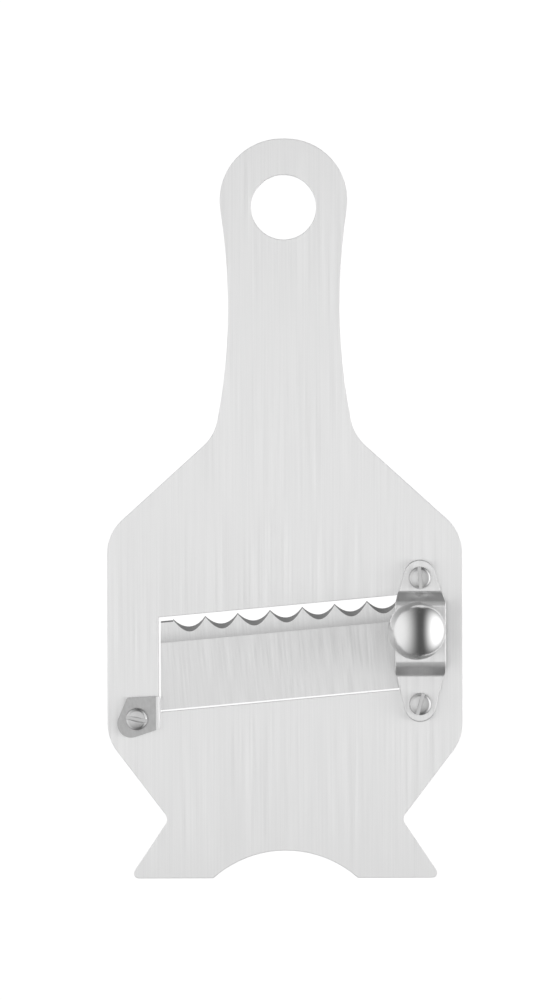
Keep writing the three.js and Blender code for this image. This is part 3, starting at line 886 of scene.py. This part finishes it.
# %% Turn one blank
# Turned on a lathe and lightly polished, so that fine rings catch the light round each head.
screw_steel = lined_steel(
    "turned_screw_steel", light="d4d4d4", dark="c4c4c4", roughness=0.34, spread=0.3,
    line_width=0.15 * MM, line_length=3 * MM, groove=0.001 * MM,
)
head_radius = (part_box("tab_screw")[1].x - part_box("tab_screw")[0].x) / 2
head_height = 1.7 * MM
head_dome = 0.15 * MM
head_round = 0.9 * MM
head_foot = 0.1 * MM
dome_part = 0.6
shank_radius = 1.5 * MM
shank_length = 4 * MM


def arc(centre, radius, first, last, steps):
    """Points of an arc in a profile, from one angle to another, in degrees."""
    angles = [math.radians(first + (last - first) * step / steps) for step in range(steps + 1)]
    return [(centre[0] + radius * math.cos(a), centre[1] + radius * math.sin(a)) for a in angles]


round_centre = (head_radius - head_round, head_height - head_dome - head_round)
screw_blank = turned([
    (0, -shank_length), (shank_radius, -shank_length), (shank_radius, 0), (head_radius - head_foot, 0),
    (head_radius, head_foot), *arc(round_centre, head_round, first=0, last=82, steps=10),
    (round_centre[0] * dome_part, head_height - head_dome * dome_part ** 2), (0, head_height),
], Vector())
print("screw heads are", round(2 * head_radius / MM, 2), "mm wide")

# %% A tree that slots the blank and places its copies
place_screws, size = new_tree("slot_and_place_screws", {
    "Blank": "Object", "Slot Size": "Vector", "Chamfer Size": "Vector", "Head Top": "Vector",
    "Cut Size": "Vector", "Cut Place": "Vector", "Steel": "Material",
})
chamfer_turn = (math.pi / 4, 0, 0)
blank_screw = add_node(place_screws, "GeometryNodeObjectInfo", {"Object": size["Blank"]}).outputs["Geometry"]
slot = add_node(place_screws, "GeometryNodeMeshCube", {"Size": size["Slot Size"]}).outputs["Mesh"]
slot = add_node(place_screws, "GeometryNodeTransform", {"Geometry": slot, "Translation": size["Head Top"]})
chamfer = add_node(place_screws, "GeometryNodeMeshCube", {"Size": size["Chamfer Size"]}).outputs["Mesh"]
chamfer = add_node(place_screws, "GeometryNodeTransform", {
    "Geometry": chamfer, "Translation": size["Head Top"], "Rotation": chamfer_turn,
})
slotted = add_node(place_screws, "GeometryNodeMeshBoolean", {
    "Mesh 1": blank_screw, "Mesh 2": [slot.outputs["Geometry"], chamfer.outputs["Geometry"]],
}, operation="DIFFERENCE", solver="EXACT").outputs["Mesh"]
turn = add_node(place_screws, "GeometryNodeInputNamedAttribute", {"Name": "turn"}, data_type="FLOAT")
upright = add_node(place_screws, "ShaderNodeCombineXYZ", {"Z": turn.outputs["Attribute"]}).outputs["Vector"]
copies = add_node(place_screws, "GeometryNodeInstanceOnPoints", {
    "Points": size["Geometry"], "Instance": slotted, "Rotation": upright,
}).outputs["Instances"]
below = add_node(place_screws, "GeometryNodeMeshCube", {"Size": size["Cut Size"]}).outputs["Mesh"]
below = add_node(place_screws, "GeometryNodeTransform", {"Geometry": below, "Translation": size["Cut Place"]})
copies = add_node(place_screws, "GeometryNodeRealizeInstances", {"Geometry": copies}).outputs["Geometry"]
trimmed = add_node(place_screws, "GeometryNodeMeshBoolean", {
    "Mesh 1": copies, "Mesh 2": below.outputs["Geometry"],
}, operation="DIFFERENCE", solver="EXACT").outputs["Mesh"]
trimmed = add_node(place_screws, "GeometryNodeRealizeInstances", {"Geometry": trimmed}).outputs["Geometry"]
painted = add_node(place_screws, "GeometryNodeSetMaterial", {"Geometry": trimmed, "Material": size["Steel"]})
add_node(place_screws, "NodeGroupOutput", {"Geometry": painted.outputs["Geometry"]})
print("screw tree has", len(place_screws.nodes), "nodes")

# %% Three screws, each driven to its own angle
driver_slot = 0.9 * MM
slot_depth = 0.8 * MM
slot_chamfer = 0.15 * MM
slot_length = 4 * head_radius
screw_turns = {"bridge_screw_upper": 94, "bridge_screw_lower": 74, "tab_screw": -11}

seats = []
for node in screw_turns:
    low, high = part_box(node)
    seats.append(Vector(((low.x + high.x) / 2, (low.y + high.y) / 2, high.z - head_height)))
screw_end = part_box("tab_screw")[0].z
points = bpy.data.meshes.new("screw_places")
points.from_pydata(seats, [], [])
turns = points.attributes.new("turn", "FLOAT", "POINT")
turns.data.foreach_set("value", [math.radians(degrees) for degrees in screw_turns.values()])
blank_object = bpy.data.objects.new("screw_blank", screw_blank)
bpy.context.scene.collection.objects.link(blank_object)
chamfer_side = (driver_slot + 2 * slot_chamfer) / math.sqrt(2)
screws = run_tree(place_screws, points, {
    "Blank": blank_object, "Slot Size": (slot_length, driver_slot, 2 * slot_depth),
    "Chamfer Size": (slot_length, chamfer_side, chamfer_side), "Head Top": (0, 0, head_height),
    "Cut Size": (*(4 * cad_high.xy), 2 * shank_length), "Cut Place": (0, 0, screw_end - shank_length),
    "Steel": screw_steel,
})
bpy.data.objects.remove(blank_object)
shade_round(screws)


def round_brush(axes):
    """A brush map whose lines run round the nearest of some upright axes."""
    def across_and_along(point, face):
        axis = min(axes, key=lambda at: (at.xy - face.center.xy).length)
        out, middle = (point - axis).xy, (face.center - axis).xy
        angle = math.atan2(middle.y, middle.x) + math.atan2(middle.cross(out), middle.dot(out))
        return out.length - point.z, angle * middle.length
    return across_and_along


lay_brush_map(screws, round_brush(seats))
add_piece("slotted_screws", screws, "frame", "screw_steel", *screw_turns)

# %% [markdown]
# ## Ball, stem and washer
# The ball is turned from bar and polished, then drilled from below for the stem. The stem's thread is a rule:
# the surface dips and rises once for each 0.7 mm along it, and that wave is carried round by one lead in a
# turn. A tree moves the points of a finely ringed stem in by that rule, and fades it out at both ends.

# %% The ball
# Polished to a satin mirror: it shows the tent's walls and the dark gap with soft borders.
ball_steel = lined_steel(
    "satin_polished_ball", light="e6e6e6", dark="dedede", roughness=0.2, spread=0.15,
    line_width=0.3 * MM, line_length=9 * MM, groove=0.0004 * MM,
)
ball_low, ball_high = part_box("knob_ball")
ball_radius = (ball_high.x - ball_low.x) / 2
ball_middle = ball_high.z - ball_radius
bore_radius, bore_depth, bore_chamfer = 2.12 * MM, 8 * MM, 0.3 * MM
bore_top = ball_low.z + bore_depth
flat_radius, flat_edge = 3 * MM, 0.15 * MM
flat_angle = -math.degrees(math.acos(flat_radius / ball_radius))
edge_angle = 1.5
ball = turned([
    (0, bore_top), (bore_radius, bore_top), (bore_radius, ball_low.z + bore_chamfer),
    (bore_radius + bore_chamfer, ball_low.z), (flat_radius - flat_edge, ball_low.z),
    *arc((0, ball_middle), ball_radius, first=flat_angle + edge_angle, last=90, steps=60),
], stem_place)
shade_round(ball)
ball.materials.append(ball_steel)
lay_brush_map(ball, round_brush([stem_place]))
ball_knob = add_piece("ball_knob", ball, "knob", "knob_steel", "knob_ball")
flagged.objects.link(ball_knob)
flagged.collection_objects[0].light_linking.link_state = "EXCLUDE"

# %% A tree that cuts a thread
cut_thread, size = new_tree("cut_thread", {
    "Axis": "Vector", "Lead": "Float", "Depth": "Float", "Thread Start": "Float", "Thread End": "Float",
    "Runout": "Float", "Steel": "Material",
})
# In turns: the groove is deepest half a turn from the crest, with a narrow flat at crest and root.
half_turn = 0.5
crest_end, root_start = 0.06, 0.42
place = add_node(cut_thread, "GeometryNodeInputPosition").outputs["Position"]
off_axis = add_node(cut_thread, "ShaderNodeVectorMath", {0: place, 1: size["Axis"]}, operation="SUBTRACT")
apart = add_node(cut_thread, "ShaderNodeSeparateXYZ", {"Vector": off_axis.outputs["Vector"]}).outputs
angle = add_node(cut_thread, "ShaderNodeMath", {0: apart["Y"], 1: apart["X"]}, operation="ARCTAN2")
turns_round = add_node(cut_thread, "ShaderNodeMath", {
    0: angle.outputs[0], 1: 2 * math.pi,
}, operation="DIVIDE")
turns_up = add_node(cut_thread, "ShaderNodeMath", {0: apart["Z"], 1: size["Lead"]}, operation="DIVIDE")
turns_off = add_node(cut_thread, "ShaderNodeMath", {
    0: turns_up.outputs[0], 1: turns_round.outputs[0],
}, operation="SUBTRACT")
wave = add_node(cut_thread, "ShaderNodeMath", {
    0: turns_off.outputs[0], 1: half_turn,
}, operation="PINGPONG")
cut_depth = add_node(cut_thread, "ShaderNodeMapRange", {
    "Value": wave.outputs[0], "From Min": crest_end, "From Max": root_start,
    "To Min": 0.0, "To Max": size["Depth"],
})
fade = []
for end, way in (("Thread Start", "ADD"), ("Thread End", "SUBTRACT")):
    runs_out = add_node(cut_thread, "ShaderNodeMath", {0: size[end], 1: size["Runout"]}, operation=way)
    fade.append(add_node(cut_thread, "ShaderNodeMapRange", {
        "Value": apart["Z"], "From Min": size[end], "From Max": runs_out.outputs[0],
    }).outputs[0])
kept = add_node(cut_thread, "ShaderNodeMath", {0: fade[0], 1: fade[1]}, operation="MULTIPLY")
inward = add_node(cut_thread, "ShaderNodeMath", {
    0: kept.outputs[0], 1: cut_depth.outputs[0],
}, operation="MULTIPLY")
flat = add_node(cut_thread, "ShaderNodeCombineXYZ", {"X": apart["X"], "Y": apart["Y"]}).outputs["Vector"]
from_axis = add_node(cut_thread, "ShaderNodeVectorMath", {0: flat}, operation="NORMALIZE")
back_in = add_node(cut_thread, "ShaderNodeMath", {0: inward.outputs[0], 1: -1}, operation="MULTIPLY")
offset = add_node(cut_thread, "ShaderNodeVectorMath", {
    0: from_axis.outputs["Vector"], "Scale": back_in.outputs[0],
}, operation="SCALE")
threaded = add_node(cut_thread, "GeometryNodeSetPosition", {
    "Geometry": size["Geometry"], "Offset": offset.outputs["Vector"],
}).outputs["Geometry"]
threaded = add_node(cut_thread, "GeometryNodeRealizeInstances", {"Geometry": threaded}).outputs["Geometry"]
threaded = add_node(cut_thread, "GeometryNodeSetMaterial", {"Geometry": threaded, "Material": size["Steel"]})
add_node(cut_thread, "NodeGroupOutput", {"Geometry": threaded.outputs["Geometry"]})
print("thread tree has", len(cut_thread.nodes), "nodes")

# %% The stem
stem_low, stem_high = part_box("adjusting_stem")
stem_radius = (stem_high.x - stem_low.x) / 2
shoulder, shoulder_chamfer = 1.75 * MM, 0.2 * MM
thread_lead, thread_depth = 0.7 * MM, 0.38 * MM
thread_runout = 0.5 * MM
thread_start = shoulder + shoulder_chamfer
thread_end = ball_low.z + thread_runout
ring_gap, thread_rings = 0.05 * MM, 90
stem = turned([
    (0, stem_low.z), (peen_radius, stem_low.z), (neck_radius, peen_top), (neck_radius, shoulder),
    (stem_radius - shoulder_chamfer, shoulder), (stem_radius, thread_start),
    *[(stem_radius, z) for z in np.linspace(thread_start + ring_gap, thread_end, thread_rings)],
    (stem_radius, stem_high.z), (0, stem_high.z),
], stem_place)
stem = run_tree(cut_thread, stem, {
    "Axis": (stem_place.x, stem_place.y, 0), "Lead": thread_lead, "Depth": thread_depth,
    "Thread Start": thread_start, "Thread End": thread_end, "Runout": thread_runout, "Steel": screw_steel,
})
shade_round(stem)
lay_brush_map(stem, round_brush([stem_place]))
add_piece("threaded_stem", stem, "knob", "screw_steel", "adjusting_stem")

# %% The thrust washer
washer_low, washer_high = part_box("thrust_washer")
washer_outer = (washer_high.x - washer_low.x) / 2
washer_gap = 0.2 * MM
washer_inner = neck_radius + washer_gap
rim = 0.08 * MM
washer = turned([
    (washer_inner, washer_low.z), (washer_outer - rim, washer_low.z), (washer_outer, washer_low.z + rim),
    (washer_outer, washer_high.z - rim), (washer_outer - rim, washer_high.z), (washer_inner, washer_high.z),
], stem_place, closed=True)
shade_round(washer)
washer.materials.append(screw_steel)
lay_brush_map(washer, round_brush([stem_place]))
add_piece("thrust_washer_ring", washer, "thrust", "screw_steel", "thrust_washer")

# %% [markdown]
# ## Size
# The dressed slicer must fill the same box as the imported solids.

# %% Both boxes, side by side
low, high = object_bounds()
print("solids, mm:", [round(side / MM, 2) for side in cad_high - cad_low])
print("dressed, mm:", [round(side / MM, 2) for side in high - low])
